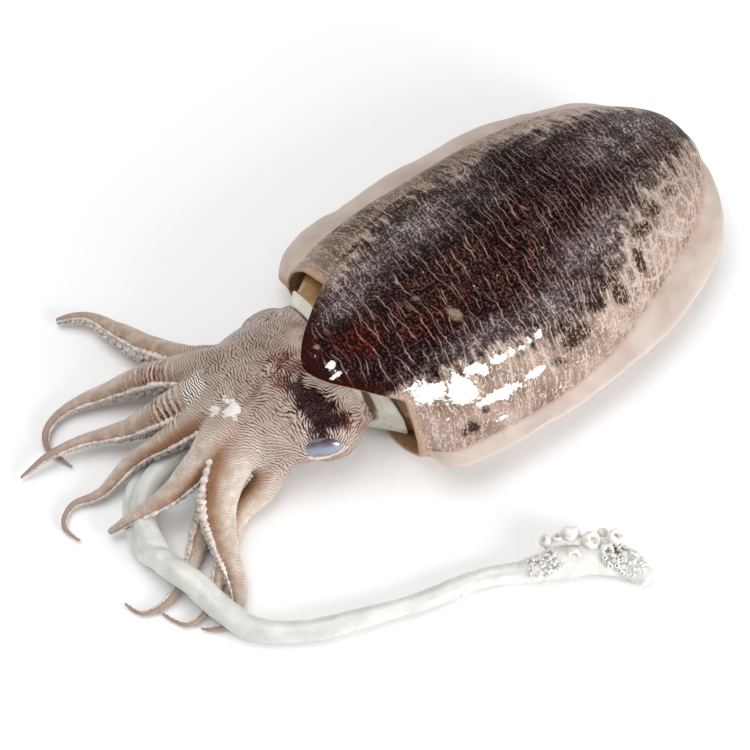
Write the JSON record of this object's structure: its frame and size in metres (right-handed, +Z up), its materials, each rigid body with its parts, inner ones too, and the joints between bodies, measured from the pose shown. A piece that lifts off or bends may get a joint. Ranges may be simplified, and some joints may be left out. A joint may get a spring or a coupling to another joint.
{
  "type": "whole raw cuttlefish",
  "caption": "Whole raw cuttlefish lying belly down: oval mantle with a fin all round, head with eyes, spread arms and one long tentacle with a suckered club.",
  "frame": {"origin": "on the surface the animal lies on, under the middle of its box", "axes": "+Z up, out of the back; +X towards the tail along the mantle, so the arms point to -X; the drawn-out tentacle lies on the -Y side"},
  "size_m": [0.3423, 0.2615, 0.0589],
  "materials": {
    "skin": "wet, mottled dark brown back and tan arms",
    "fin": "wet, thin pinkish beige flesh",
    "pale_flesh": "wet, smooth white flesh of the tentacle, its club, the suckers and the neck",
    "eye": "wet, clouded blue-grey cornea"
  },
  "bodies": {
    "root": {"cuttlefish": "skin"}
  },
  "joints": []
}
